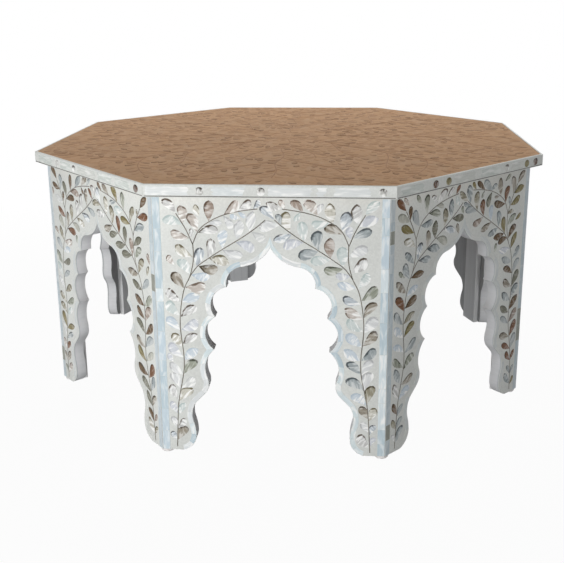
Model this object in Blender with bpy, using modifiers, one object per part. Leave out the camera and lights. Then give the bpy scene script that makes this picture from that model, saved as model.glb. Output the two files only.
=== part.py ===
"""Octagonal low table with pointed multifoil arches and shell-inlaid faces.

Metres, +Z up. The origin is on the floor under the middle of the top, and side 1 faces -Y.
Sides are numbered anticlockwise seen from above, and corner n joins side n to side n + 1.
"""

import math

import bmesh
import bpy
from mathutils import Matrix, Vector

# Overall sizes
SIDES = 8
TABLE_HEIGHT = 0.457
TOP_ACROSS_FLATS = 0.914
TOP_OVERHANG = 0.019

# The top: a board, an inlaid field laid on it, and a mitred strip along each edge
TOP_THICKNESS = 0.020
FIELD_THICKNESS = 0.003
EDGE_STRIP_THICKNESS = 0.004

# The sides: an arched board with an inlaid face glued to it
PANEL_THICKNESS = 0.018
INLAY_THICKNESS = 0.003
FOOT_WIDTH = 0.057
CROWN_DEPTH = 0.082

# Half of the arch, from the toe up to the point: share of the half span, share of the rise, and the
# bulge of the arc to the next station, as rise over chord. A positive bulge cuts into the board.
ARCH_STATIONS = (
    (1.175, 0.000, -0.176),
    (1.000, 0.086, -0.030),
    (1.025, 0.143, 0.112),
    (0.998, 0.244, 0.013),
    (0.869, 0.292, -0.135),
    (0.823, 0.367, 0.163),
    (0.732, 0.514, 0.272),
    (0.705, 0.672, 0.287),
    (0.552, 0.814, 0.208),
    (0.370, 0.910, -0.124),
    (0.000, 1.000, 0.000),
)
ARC_STEP = math.radians(20)

# Inside: a broad post in each corner, and a cleat along each side that holds the top with a screw
POST_WIDTH = 0.046
POST_EDGE = 0.011
CLEAT_WIDTH = 0.022
CLEAT_HEIGHT = 0.022
CLEAT_END_CLEARANCE = 0.001
SCREW_RADIUS = 0.0020
SCREW_HEAD_RADIUS = 0.0042
SCREW_HEAD_HEIGHT = 0.0024
SCREW_HEAD_RIM_SHARE = 0.33
SCREW_HEAD_FLAT_SHARE = 0.70
SCREW_GRIP = 0.010
SCREW_TIP_LENGTH = 0.003
PILOT_SPARE_DEPTH = 0.001
SCREW_SEGMENTS = 14

# The pads that the table stands on
PAD_HEIGHT = 0.006
PAD_RADIUS = 0.0115
PAD_INSET = 0.015
PAD_CHAMFER = 0.0012
PAD_SEGMENTS = 24

# Glue line between pieces, and between a screw and its hole
JOINT_GAP = 0.0003
MERGE_DISTANCE = 1e-6
SHARP_ANGLE = math.radians(30)

# Sizes that follow from those above
HALF_SECTOR = math.pi / SIDES
TOP_APOTHEM = TOP_ACROSS_FLATS / 2
BODY_APOTHEM = TOP_APOTHEM - TOP_OVERHANG
TOP_UNDERSIDE = TABLE_HEIGHT - TOP_THICKNESS
BOARD_APOTHEM = TOP_APOTHEM - EDGE_STRIP_THICKNESS - JOINT_GAP
BOARD_TOP = TABLE_HEIGHT - FIELD_THICKNESS - JOINT_GAP
BODY_HALF_WIDTH = BODY_APOTHEM * math.tan(HALF_SECTOR)
BODY_TOP = TOP_UNDERSIDE - JOINT_GAP
ARCH_HALF_SPAN = BODY_HALF_WIDTH - FOOT_WIDTH
ARCH_RISE = BODY_TOP - PAD_HEIGHT - CROWN_DEPTH
PANEL_FACE = BODY_APOTHEM - INLAY_THICKNESS - JOINT_GAP
INNER_APOTHEM = PANEL_FACE - PANEL_THICKNESS
POST_APOTHEM = INNER_APOTHEM - JOINT_GAP
POST_DEPTH = POST_WIDTH / 2 * math.tan(HALF_SECTOR) + POST_EDGE
CLEAT_FACE = INNER_APOTHEM - JOINT_GAP
CLEAT_CENTRE = CLEAT_FACE - CLEAT_WIDTH / 2
CLEAT_BOTTOM = BODY_TOP - CLEAT_HEIGHT
SCREW_SEAT = CLEAT_BOTTOM - JOINT_GAP
SCREW_TOP = TOP_UNDERSIDE + SCREW_GRIP


def clear_scene():
    for obj in list(bpy.data.objects):
        bpy.data.objects.remove(obj)


def new_collection(name):
    collection = bpy.data.collections.new(name)
    bpy.context.scene.collection.children.link(collection)
    return collection


def new_material(name, colour, roughness, metallic=0.0):
    material = bpy.data.materials.new(name)
    material.use_nodes = True
    shader = material.node_tree.nodes["Principled BSDF"]
    shader.inputs["Base Color"].default_value = (*colour, 1.0)
    shader.inputs["Roughness"].default_value = roughness
    shader.inputs["Metallic"].default_value = metallic
    return material


def place(name, mesh, collection, material=None, turn=0.0, location=(0.0, 0.0, 0.0)):
    """Puts a mesh in the scene as a named object, turned about the table's upright axis."""
    obj = bpy.data.objects.new(name, mesh)
    obj.rotation_euler.z = turn
    obj.location = Matrix.Rotation(turn, 3, "Z") @ Vector(location)
    collection.objects.link(obj)
    if material is not None and not mesh.materials:
        mesh.materials.append(material)
    return obj


def place_round(name, mesh, collection, material, location=(0.0, 0.0, 0.0), offset=0.0):
    """Puts one copy of a mesh at each side of the table, or between sides with an offset of one half."""
    copies = []
    for side in range(SIDES):
        turn = (side + offset) * 2 * HALF_SECTOR
        copies.append(place(f"{name}_{side + 1}", mesh, collection, material, turn, location))
    return copies


def evaluated_mesh(obj, name):
    """The object's mesh with its modifiers applied and its seams welded; the object is removed."""
    bpy.context.scene.collection.objects.link(obj)
    graph = bpy.context.evaluated_depsgraph_get()
    mesh = bpy.data.meshes.new_from_object(obj.evaluated_get(graph))
    mesh.name = name
    bpy.data.objects.remove(obj)
    shape = bmesh.new()
    shape.from_mesh(mesh)
    bmesh.ops.remove_doubles(shape, verts=shape.verts, dist=MERGE_DISTANCE)
    bmesh.ops.recalc_face_normals(shape, faces=shape.faces)
    shape.to_mesh(mesh)
    shape.free()
    return mesh


def extruded_outline(name, outline, depth):
    """A flat outline in X and Y made solid, with its middle layer at Z = 0."""
    curve = bpy.data.curves.new(name, "CURVE")
    curve.dimensions = "2D"
    curve.fill_mode = "BOTH"
    curve.extrude = depth / 2
    spline = curve.splines.new("POLY")
    spline.points.add(len(outline) - 1)
    for point, (x, y) in zip(spline.points, outline):
        point.co = (x, y, 0.0, 1.0)
    spline.use_cyclic_u = True
    return evaluated_mesh(bpy.data.objects.new(name, curve), name)


def turned_profile(name, profile, segments):
    """A solid of revolution from (radius, height) points that run from the top down its outer side."""
    mesh = bpy.data.meshes.new(name)
    shape = bmesh.new()
    points = [shape.verts.new((radius, 0.0, height)) for radius, height in profile]
    for upper, lower in zip(points, points[1:]):
        shape.edges.new((upper, lower))
    shape.to_mesh(mesh)
    shape.free()
    obj = bpy.data.objects.new(name, mesh)
    screw = obj.modifiers.new("Turn", "SCREW")
    screw.steps = segments
    screw.render_steps = segments
    screw.use_merge_vertices = True
    screw.merge_threshold = MERGE_DISTANCE
    turned = evaluated_mesh(obj, name)
    turned.shade_smooth()
    turned.set_sharp_from_angle(angle=SHARP_ANGLE)
    return turned


def octagon_slab(name, apothem, bottom, top):
    """A regular plate whose flat edges face the sides of the table."""
    mesh = bpy.data.meshes.new(name)
    shape = bmesh.new()
    radius = apothem / math.cos(HALF_SECTOR)
    middle = Matrix.Translation((0.0, 0.0, (bottom + top) / 2))
    bmesh.ops.create_cone(
        shape,
        cap_ends=True,
        segments=SIDES,
        radius1=radius,
        radius2=radius,
        depth=top - bottom,
        matrix=middle @ Matrix.Rotation(HALF_SECTOR, 4, "Z"),
    )
    shape.to_mesh(mesh)
    shape.free()
    return mesh


def mitre_ends(mesh, half_length):
    """Moves both ends of a side-1 piece to the planes that divide it from its neighbours."""
    for vertex in mesh.vertices:
        if abs(vertex.co.x) > half_length - MERGE_DISTANCE:
            mitre = abs(vertex.co.y) * math.tan(HALF_SECTOR)
            end = mitre - JOINT_GAP / 2 / math.cos(HALF_SECTOR)
            vertex.co.x = math.copysign(end, vertex.co.x)


def arc_points(start, end, bulge):
    """Points along a circular arc after start, up to and with end. A positive bulge lies to the right."""
    start = Vector(start)
    end = Vector(end)
    chord = end - start
    right = Vector((chord.y, -chord.x))
    sweep = 4 * math.atan(2 * abs(bulge))
    steps = max(1, math.ceil(sweep / ARC_STEP))
    if steps == 1:
        return [tuple(end)]
    radius = chord.length / (2 * math.sin(sweep / 2))
    side = math.copysign(1.0, bulge)
    apart = right.normalized() * side
    centre = (start + end) / 2 - apart * radius * math.cos(sweep / 2)
    points = []
    for step in range(1, steps + 1):
        turn = side * sweep * step / steps
        points.append(tuple(centre + Matrix.Rotation(turn, 2) @ (start - centre)))
    return points


def half_arch():
    """The right half of the arch, from the toe up to the point, as (x, height over the foot)."""
    stations = [(x * ARCH_HALF_SPAN, z * ARCH_RISE, bulge) for x, z, bulge in ARCH_STATIONS]
    points = [stations[0][:2]]
    for (x, z, bulge), (next_x, next_z, _) in zip(stations, stations[1:]):
        points += arc_points((x, z), (next_x, next_z), bulge)
    return points


def side_outline():
    """One side seen from outside, from its left foot round over the top and back under the arch."""
    right = half_arch()
    left = [(-x, z) for x, z in reversed(right[:-1])]
    height = BODY_TOP - PAD_HEIGHT
    corners = [
        (-BODY_HALF_WIDTH, 0.0),
        (-BODY_HALF_WIDTH, height),
        (BODY_HALF_WIDTH, height),
        (BODY_HALF_WIDTH, 0.0),
    ]
    return corners + right + left


def upright_layer(name, outer_apothem, thickness):
    """One arched layer of side 1, between two planes parallel to its face, mitred at both ends."""
    mesh = extruded_outline(name, side_outline(), thickness)
    stand_up = Matrix.Rotation(math.pi / 2, 4, "X")
    place_at = Matrix.Translation((0.0, thickness / 2 - outer_apothem, PAD_HEIGHT))
    mesh.transform(place_at @ stand_up)
    mitre_ends(mesh, BODY_HALF_WIDTH)
    return mesh


def edge_strip_mesh():
    """The strip along edge 1 of the top, as high as the top is thick."""
    half_length = TOP_APOTHEM * math.tan(HALF_SECTOR)
    inner = TOP_APOTHEM - EDGE_STRIP_THICKNESS
    plan = [
        (-half_length, -TOP_APOTHEM),
        (half_length, -TOP_APOTHEM),
        (half_length, -inner),
        (-half_length, -inner),
    ]
    mesh = extruded_outline("edge_strip", plan, TOP_THICKNESS)
    mesh.transform(Matrix.Translation((0.0, 0.0, TABLE_HEIGHT - TOP_THICKNESS / 2)))
    mitre_ends(mesh, half_length)
    return mesh


def corner_post_mesh():
    """A post whose outer edge fits between two sides, drawn in plan with the corner towards -Y."""
    corner = POST_APOTHEM / math.cos(HALF_SECTOR)
    half = POST_WIDTH / 2
    shoulder = corner - half * math.tan(HALF_SECTOR)
    back = corner - POST_DEPTH
    plan = [(0.0, -corner), (half, -shoulder), (half, -back), (-half, -back), (-half, -shoulder)]
    mesh = extruded_outline("corner_post", plan, BODY_TOP - PAD_HEIGHT)
    mesh.transform(Matrix.Translation((0.0, 0.0, (BODY_TOP + PAD_HEIGHT) / 2)))
    return mesh


def cleat_half_length():
    """Half the room between two posts along a side, at the cleat's inner face."""
    corner = POST_APOTHEM / math.cos(HALF_SECTOR)
    across = Vector((math.cos(HALF_SECTOR), math.sin(HALF_SECTOR)))
    along = Vector((math.sin(HALF_SECTOR), -math.cos(HALF_SECTOR)))
    post_flank = [along * depth - across * (POST_WIDTH / 2) for depth in (corner, corner - POST_DEPTH)]
    wall_end = (CLEAT_FACE - CLEAT_WIDTH) * math.tan(HALF_SECTOR)
    return min(wall_end, *(point.x for point in post_flank)) - CLEAT_END_CLEARANCE


def cleat_mesh():
    mesh = bpy.data.meshes.new("top_cleat")
    shape = bmesh.new()
    size = Matrix.Diagonal((2 * cleat_half_length(), CLEAT_WIDTH, CLEAT_HEIGHT, 1.0))
    middle = Matrix.Translation((0.0, -CLEAT_CENTRE, BODY_TOP - CLEAT_HEIGHT / 2))
    bmesh.ops.create_cube(shape, size=1.0, matrix=middle @ size)
    shape.to_mesh(mesh)
    shape.free()
    return mesh


def cleat_screw_mesh():
    """A domed wood screw that stands head down, with its axis on Z."""
    head_bottom = SCREW_SEAT - SCREW_HEAD_HEIGHT
    profile = [
        (0.0, SCREW_TOP),
        (SCREW_RADIUS, SCREW_TOP - SCREW_TIP_LENGTH),
        (SCREW_RADIUS, SCREW_SEAT),
        (SCREW_HEAD_RADIUS, SCREW_SEAT),
        (SCREW_HEAD_RADIUS, SCREW_SEAT - SCREW_HEAD_HEIGHT * SCREW_HEAD_RIM_SHARE),
        (SCREW_HEAD_RADIUS * SCREW_HEAD_FLAT_SHARE, head_bottom),
        (0.0, head_bottom),
    ]
    return turned_profile("cleat_screw", profile, SCREW_SEGMENTS)


def foot_pad_mesh():
    """A round pad with a chamfered rim at the floor, with its axis on Z."""
    top = PAD_HEIGHT - JOINT_GAP
    profile = [
        (0.0, top),
        (PAD_RADIUS, top),
        (PAD_RADIUS, PAD_CHAMFER),
        (PAD_RADIUS - PAD_CHAMFER, 0.0),
        (0.0, 0.0),
    ]
    return turned_profile("foot_pad", profile, PAD_SEGMENTS)


def screw_hole_cutters(collection):
    """One drill for each screw: through its cleat and part way into the board."""
    radius = SCREW_RADIUS + JOINT_GAP
    bottom = CLEAT_BOTTOM - CLEAT_HEIGHT
    top = SCREW_TOP + PILOT_SPARE_DEPTH
    profile = [(0.0, top), (radius, top), (radius, bottom), (0.0, bottom)]
    mesh = turned_profile("screw_hole", profile, SCREW_SEGMENTS)
    drills = place_round("screw_hole", mesh, collection, None, (0.0, -CLEAT_CENTRE, 0.0))
    for drill in drills:
        drill.hide_render = True
        drill.display_type = "WIRE"
    return drills


def drill(obj, cutter):
    cut = obj.modifiers.new(cutter.name, "BOOLEAN")
    cut.operation = "DIFFERENCE"
    cut.object = cutter


def make_top(parts, wood, field, shell):
    board = octagon_slab("top_board", BOARD_APOTHEM, TOP_UNDERSIDE, BOARD_TOP)
    inlay = octagon_slab("top_inlay_field", BOARD_APOTHEM, TABLE_HEIGHT - FIELD_THICKNESS, TABLE_HEIGHT)
    place("top_inlay_field", inlay, parts, field)
    place_round("edge_strip", edge_strip_mesh(), parts, shell)
    return place("top_board", board, parts, wood)


def make_sides(parts, paint, shell):
    panel = upright_layer("side_panel", PANEL_FACE, PANEL_THICKNESS)
    face = upright_layer("inlay_face", BODY_APOTHEM, INLAY_THICKNESS)
    place_round("side_panel", panel, parts, paint)
    place_round("inlay_face", face, parts, shell)


def make_corners(parts, paint, nylon):
    corner = BODY_APOTHEM / math.cos(HALF_SECTOR)
    place_round("corner_post", corner_post_mesh(), parts, paint, offset=0.5)
    place_round("foot_pad", foot_pad_mesh(), parts, nylon, (0.0, PAD_INSET - corner, 0.0), offset=0.5)


def make_cleats(parts, cutters, board, wood, steel):
    """The cleats and screws that hold the top down, and the holes that they share."""
    drills = screw_hole_cutters(cutters)
    cleats = place_round("top_cleat", cleat_mesh(), parts, wood)
    place_round("cleat_screw", cleat_screw_mesh(), parts, steel, (0.0, -CLEAT_CENTRE, 0.0))
    for cleat, cutter in zip(cleats, drills):
        drill(cleat, cutter)
        drill(board, cutter)


def main():
    clear_scene()
    parts = new_collection("octagonal_inlay_table")
    cutters = new_collection("cutters")
    wood = new_material("bare_wood", (0.42, 0.29, 0.18), 0.7)
    paint = new_material("grey_paint", (0.55, 0.55, 0.56), 0.55)
    shell = new_material("cream_shell_inlay", (0.74, 0.72, 0.66), 0.3)
    field = new_material("tan_shell_inlay", (0.45, 0.28, 0.17), 0.35)
    nylon = new_material("white_nylon", (0.75, 0.73, 0.72), 0.5)
    steel = new_material("zinc_plated_steel", (0.62, 0.60, 0.55), 0.35, 1.0)
    board = make_top(parts, wood, field, shell)
    make_sides(parts, paint, shell)
    make_corners(parts, paint, nylon)
    make_cleats(parts, cutters, board, wood, steel)


main()
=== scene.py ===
import math
import random

import bmesh
import bpy
import numpy as np
from mathutils import Matrix, Vector


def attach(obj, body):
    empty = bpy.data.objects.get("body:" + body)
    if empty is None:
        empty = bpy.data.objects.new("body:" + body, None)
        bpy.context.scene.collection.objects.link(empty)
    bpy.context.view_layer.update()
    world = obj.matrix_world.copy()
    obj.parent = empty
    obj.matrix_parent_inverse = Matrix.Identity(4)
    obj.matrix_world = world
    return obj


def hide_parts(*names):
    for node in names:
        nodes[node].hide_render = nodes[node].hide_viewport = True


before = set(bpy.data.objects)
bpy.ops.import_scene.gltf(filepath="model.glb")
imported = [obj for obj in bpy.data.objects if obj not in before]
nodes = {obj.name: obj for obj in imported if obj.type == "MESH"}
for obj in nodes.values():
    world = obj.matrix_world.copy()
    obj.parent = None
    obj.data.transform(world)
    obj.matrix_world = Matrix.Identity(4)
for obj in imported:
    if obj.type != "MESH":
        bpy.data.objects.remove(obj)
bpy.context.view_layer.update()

# Sizes shared with the solids, in metres
SIDES = 8
HALF_SECTOR = math.pi / SIDES
SECTOR = 2 * HALF_SECTOR
TABLE_HEIGHT = 0.457
TOP_APOTHEM = 0.457
TOP_THICKNESS = 0.020
TOP_UNDERSIDE = TABLE_HEIGHT - TOP_THICKNESS
FIELD_THICKNESS = 0.003
EDGE_STRIP_THICKNESS = 0.004
BODY_APOTHEM = 0.438
FACE_THICKNESS = 0.003
BOARD_THICKNESS = 0.018
GLUE_LINE = 0.0003
MITRE_GAP = GLUE_LINE / 2 / math.cos(HALF_SECTOR)
FOOT_LEVEL = 0.006
BODY_TOP = TOP_UNDERSIDE - GLUE_LINE
BODY_HALF_WIDTH = BODY_APOTHEM * math.tan(HALF_SECTOR)
SIDE_END = BODY_HALF_WIDTH - MITRE_GAP
FOOT_WIDTH = 0.057
CROWN_DEPTH = 0.082
ARCH_HALF_SPAN = BODY_HALF_WIDTH - FOOT_WIDTH
ARCH_RISE = BODY_TOP - FOOT_LEVEL - CROWN_DEPTH
POST_WIDTH = 0.046
POST_EDGE = 0.011
# From a foot to the point of the arch: shares of half the span and of the rise, and the next arc's bulge
ARCH_STATIONS = (
    (1.175, 0.000, -0.176),
    (1.000, 0.086, -0.030),
    (1.025, 0.143, 0.112),
    (0.998, 0.244, 0.013),
    (0.869, 0.292, -0.135),
    (0.823, 0.367, 0.163),
    (0.732, 0.514, 0.272),
    (0.705, 0.672, 0.287),
    (0.552, 0.814, 0.208),
    (0.370, 0.910, -0.124),
    (0.000, 1.000, 0.000),
)
ARCH_RUNS = 2 * (len(ARCH_STATIONS) - 1)
ARC_STEP = math.radians(6)

# Softened arrises: their reach along a face, and how far in their middle lies
FACE_ARRIS = (0.0006, 0.00018)
BOARD_ARRIS = (0.0010, 0.0003)
EDGE_ARRIS = (0.0014, 0.0004)
POST_ARRIS = (0.0012, 0.00036)
TOP_ARRIS = 0.0004

# Sizes of the inlay
GROUND_DEPTH = 0.0003
CHIP_HEIGHT = 0.0009
LINE_SINK = 0.0001
LINE_HEIGHT = CHIP_HEIGHT - LINE_SINK
LEAF_LENGTH = 0.032
LEAF_GRAIN = 0.028
STEM_WIDTH = 0.0014
FRONT_STRIP_WIDTH = 0.0115
SIDE_STRIP_WIDTH = 0.0094
ARCH_BORDER_START = 0.0007
ARCH_BORDER_END = 0.0085
ARCH_CHIP_LENGTH = 0.024
CHIP_JOINT = 0.0005
# How near the edge the points of a flat chip count, for the painted shade on its rim
CHIP_EDGE = 0.7
EDGE_DOT_RADIUS = 0.0064
CREAM_INLAY = "cream_shell_inlay"
TAN_INLAY = "tan_shell_inlay"


# Small node helpers
def wire(tree, kind, inputs=None, **settings):
    """Adds a node, sets its properties, and links or sets its inputs."""
    node = tree.nodes.new(kind)
    for key, value in settings.items():
        setattr(node, key, value)
    for key, value in (inputs or {}).items():
        socket = node.inputs[key]
        if isinstance(value, bpy.types.NodeSocket):
            tree.links.new(value, socket)
        else:
            socket.default_value = value
    return node


def wired(tree, kind, inputs=None, **settings):
    """The first output of a node that is added in the same way."""
    return wire(tree, kind, inputs, **settings).outputs[0]


def colour(red, green, blue):
    """A colour given as it looks on a screen, 0 to 255, as linear RGBA."""
    values = []
    for channel in (red, green, blue):
        share = channel / 255
        values.append(share / 12.92 if share <= 0.04045 else ((share + 0.055) / 1.055) ** 2.4)
    return (*values, 1.0)


def mixed(tree, factor, first, second):
    return wire(tree, "ShaderNodeMix", {0: factor, 6: first, 7: second}, data_type="RGBA").outputs[2]


def maths(tree, operation, first, second=0.0, third=0.0, clamp=False):
    inputs = {0: first, 1: second, 2: third}
    return wired(tree, "ShaderNodeMath", inputs, operation=operation, use_clamp=clamp)


def ranged(tree, value, low, high, new_low=0.0, new_high=1.0):
    inputs = {"Value": value, "From Min": low, "From Max": high, "To Min": new_low, "To Max": new_high}
    return wired(tree, "ShaderNodeMapRange", inputs, clamp=True)


def noise(tree, vector, scale, detail=2.0, roughness=0.5, distortion=0.0):
    inputs = {"Vector": vector, "Scale": scale, "Detail": detail, "Roughness": roughness}
    return wired(tree, "ShaderNodeTexNoise", {**inputs, "Distortion": distortion})


def scaled(tree, vector, scale):
    return wired(tree, "ShaderNodeMapping", {"Vector": vector, "Scale": scale})


def attribute(tree, name, output="Fac"):
    return wire(tree, "ShaderNodeAttribute", attribute_name=name).outputs[output]


def banded(tree, factor, stops, interpolation="LINEAR"):
    """A colour ramp from (position, colour) stops."""
    node = wire(tree, "ShaderNodeValToRGB", {"Fac": factor})
    ramp = node.color_ramp
    ramp.interpolation = interpolation
    while len(ramp.elements) < len(stops):
        ramp.elements.new(0.5)
    for element, (position, _) in zip(ramp.elements, stops):
        element.position = position
    for element, (_, shade) in zip(ramp.elements, stops):
        element.color = shade
    return node.outputs["Color"]


def new_material(name):
    material = bpy.data.materials.new(name)
    material.use_nodes = True
    tree = material.node_tree
    return material, tree, tree.nodes["Principled BSDF"]


def object_place(tree):
    return tree.nodes.new("ShaderNodeTexCoord").outputs["Object"]


def surface(tree, shader, base, roughness, height=None, depth=0.0, specular=0.5, strength=1.0):
    """Gives a shader its colour, roughness and gloss, and its bump where there is a height."""
    tree.links.new(base, shader.inputs["Base Color"])
    tree.links.new(roughness, shader.inputs["Roughness"])
    shader.inputs["Specular IOR Level"].default_value = specular
    if height is not None:
        inputs = {"Height": height, "Distance": depth, "Strength": strength}
        tree.links.new(wired(tree, "ShaderNodeBump", inputs), shader.inputs["Normal"])


# Materials
def resin_material(name, pale, deep, fleck, roughness, specular=0.5):
    """The polished resin ground between the shell chips, cloudy, with ground shell dust in it."""
    material, tree, shader = new_material(name)
    place = object_place(tree)
    cloud = noise(tree, place, 9.0, 4.0, 0.6)
    mottle = maths(tree, "SUBTRACT", noise(tree, place, 330.0, 1.0), 0.5)
    blend = maths(tree, "MULTIPLY_ADD", mottle, 1.4, cloud)
    base = mixed(tree, ranged(tree, blend, 0.25, 0.75), colour(*pale), colour(*deep))
    dust = ranged(tree, noise(tree, place, 1400.0, 1.0), 0.62, 0.78, 0.0, 0.35)
    base = mixed(tree, dust, base, colour(*fleck))
    polish = ranged(tree, noise(tree, place, 60.0, 3.0), 0.3, 0.7, roughness - 0.06, roughness + 0.08)
    surface(tree, shader, base, polish, noise(tree, place, 220.0), 0.00006, specular)
    return material


def rim_and_body(shades):
    """The two colour ramps of a list of shades: the rim shade, which darkens the streaks and is the colour of
    the painted shade, and the body shade.
    """
    return [[(tone, colour(*pair[side])) for tone, *pair in shades] for side in (0, 1)]


def shell_material(name, shades, glints, streaks, spin, painted_shade_strength, roughness, specular):
    """Shell chips. A chip's tone picks its shades and painted white glints, and turns its streaks by a spin.
    Painted shade darkens its rim on one side, and painted highlights whiten the other.
    """
    material, tree, shader = new_material(name)
    tone, lean, across, edge = (attribute(tree, label) for label in ("tone", "lean", "across", "edge"))
    grain = attribute(tree, "grain", "Vector")
    shift = {"X": maths(tree, "MULTIPLY", tone, 37.0), "Y": maths(tree, "MULTIPLY", tone, 23.0)}
    offset = wired(tree, "ShaderNodeCombineXYZ", shift)
    spot = wired(tree, "ShaderNodeVectorMath", {0: grain, 1: offset}, operation="ADD")
    turned_spot = {"Vector": spot, "Angle": maths(tree, "MULTIPLY", tone, spin)}
    streak = wired(tree, "ShaderNodeVectorRotate", turned_spot, rotation_type="Z_AXIS")
    sheen = noise(tree, scaled(tree, streak, streaks), 1.0, 2.0, 0.5, 0.6)
    lines = noise(tree, scaled(tree, spot, (60, 700, 60)), 1.0)
    # Painted shade: the rim is darkened on the side that leans away from the light, and along its edge
    along = wired(tree, "ShaderNodeSeparateXYZ", {0: grain})
    along = ranged(tree, along, 0.25 * LEAF_GRAIN, LEAF_GRAIN, -1.0, 1.0)
    slope = maths(tree, "MULTIPLY", across, maths(tree, "SINE", lean))
    slope = maths(tree, "MULTIPLY_ADD", along, maths(tree, "COSINE", lean), slope)
    rim = maths(tree, "MULTIPLY", maths(tree, "MULTIPLY", edge, edge), 0.6)
    rim = maths(tree, "MULTIPLY_ADD", slope, 0.5, rim)
    rim = maths(tree, "ADD", rim, ranged(tree, noise(tree, spot, 140.0, 1.0), 0.25, 0.75, -0.3, 0.3))
    # Streaks mix the rim and body shades, and the painted shade pulls towards the rim shade
    light = ranged(tree, sheen, 0.3, 0.6, 0.6, 1.0)
    light = maths(tree, "ADD", light, ranged(tree, lines, 0.3, 0.7, -0.1, 0.1), clamp=True)
    light = maths(tree, "SUBTRACT", light, ranged(tree, rim, 0.4, 0.75, 0.0, painted_shade_strength), clamp=True)
    base = mixed(tree, light, *(banded(tree, tone, stops, "CONSTANT") for stops in rim_and_body(shades)))
    # Painted highlights: white glints away from the shaded side, as strong as the tone allows
    painted_glint = maths(tree, "MULTIPLY_ADD", slope, -0.09 * painted_shade_strength, sheen)
    greys = [(start, (share, share, share, 1.0)) for start, share in glints]
    painted_glint = maths(tree, "MULTIPLY", ranged(tree, painted_glint, 0.5, 0.66), banded(tree, tone, greys, "CONSTANT"))
    base = mixed(tree, painted_glint, base, colour(252, 252, 250))
    polish = ranged(tree, lines, 0.2, 0.8, roughness - 0.06, roughness + 0.08)
    surface(tree, shader, base, polish, sheen, 0.0003, specular, 0.5)
    return material


def stem_material():
    """The dark filler line that draws the stems."""
    material, tree, shader = new_material("stem_line")
    place = object_place(tree)
    stops = [(0.3, colour(82, 76, 68)), (0.7, colour(126, 120, 108))]
    base = banded(tree, noise(tree, place, 45.0, 3.0), stops)
    surface(tree, shader, base, ranged(tree, noise(tree, place, 300.0), 0.3, 0.7, 0.35, 0.55))
    return material


def paint_material(name, pale, deep, roughness, strokes, specular=0.05):
    """Brushed paint on board: faint strokes, thin patches and small marks."""
    material, tree, shader = new_material(name)
    place = object_place(tree)
    brush = noise(tree, scaled(tree, place, strokes), 1.0, 4.0, 0.6)
    thin = ranged(tree, noise(tree, place, 14.0, 3.0), 0.35, 0.7, 0.0, 0.45)
    blend = maths(tree, "ADD", ranged(tree, brush, 0.3, 0.7, 0.0, 0.55), thin)
    base = mixed(tree, blend, colour(*pale), colour(*deep))
    polish = ranged(tree, brush, 0.3, 0.7, roughness - 0.08, roughness + 0.08)
    surface(tree, shader, base, polish, brush, 0.00012, specular)
    return material


def wood_material():
    """Bare board with grain along X."""
    material, tree, shader = new_material("bare_wood")
    fibre = noise(tree, scaled(tree, object_place(tree), (4, 90, 90)), 1.0, 5.0, 0.62, 0.6)
    stops = [(0.3, colour(132, 98, 66)), (0.5, colour(172, 136, 98)), (0.72, colour(196, 162, 122))]
    surface(tree, shader, banded(tree, fibre, stops), ranged(tree, fibre, 0.3, 0.7, 0.6, 0.8), fibre, 0.0002)
    return material


def worn_material(name, grain, wear, pale, worn, polish, depth, metallic=0.0):
    """A small hard piece, one colour worn into another."""
    material, tree, shader = new_material(name)
    place = object_place(tree)
    marks = noise(tree, place, *grain)
    base = mixed(tree, ranged(tree, marks, *wear), colour(*pale), colour(*worn))
    shader.inputs["Metallic"].default_value = metallic
    surface(tree, shader, base, ranged(tree, marks, 0.3, 0.7, *polish), marks, depth)
    return material


# Rim and body shades of the leaves: pearl below a tone of one half, then grey shell, then solid brown. The
# rim shade is the colour of the painted shade on a leaf's rim.
LEAF_SHADES = (
    (0.00, (92, 82, 72), (225, 226, 225)),
    (0.08, (186, 198, 208), (210, 219, 226)),
    (0.15, (110, 103, 80), (222, 220, 210)),
    (0.22, (186, 187, 188), (229, 231, 231)),
    (0.27, (88, 92, 97), (209, 217, 223)),
    (0.33, (182, 195, 193), (215, 222, 220)),
    (0.38, (114, 100, 89), (214, 207, 200)),
    (0.43, (186, 190, 197), (218, 221, 226)),
    (0.47, (198, 200, 199), (222, 224, 222)),
    (0.50, (72, 62, 50), (168, 161, 148)),
    (0.56, (86, 93, 96), (176, 184, 186)),
    (0.62, (80, 74, 56), (168, 163, 144)),
    (0.67, (78, 81, 70), (168, 172, 158)),
    (0.72, (96, 80, 68), (174, 160, 149)),
    (0.75, (62, 50, 36), (110, 88, 62)),
    (0.80, (88, 80, 46), (140, 129, 86)),
    (0.84, (84, 84, 71), (128, 127, 112)),
    (0.875, (130, 138, 140), (188, 194, 195)),
    (0.92, (142, 144, 134), (198, 198, 188)),
    (0.955, (80, 52, 34), (126, 88, 60)),
)
# Shades of the strips: bright silver, dull silver, pale blue, pale grey, and blue grey with dark bits
STRIP_SHADES = (
    (0.00, (194, 201, 203), (226, 231, 231)),
    (0.12, (204, 208, 208), (230, 233, 232)),
    (0.25, (184, 191, 187), (210, 215, 210)),
    (0.38, (190, 194, 189), (214, 216, 211)),
    (0.50, (206, 213, 217), (232, 236, 237)),
    (0.54, (202, 207, 208), (226, 229, 229)),
    (0.58, (195, 210, 215), (221, 232, 234)),
    (0.62, (201, 213, 218), (225, 235, 238)),
    (0.66, (176, 194, 203), (197, 212, 219)),
    (0.71, (183, 199, 209), (204, 218, 226)),
    (0.75, (198, 204, 205), (214, 218, 217)),
    (0.81, (204, 208, 206), (219, 221, 217)),
    (0.875, (178, 191, 198), (192, 204, 210)),
    (0.92, (184, 195, 201), (198, 208, 213)),
    (0.985, (126, 129, 120), (152, 154, 145)),
)
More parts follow.
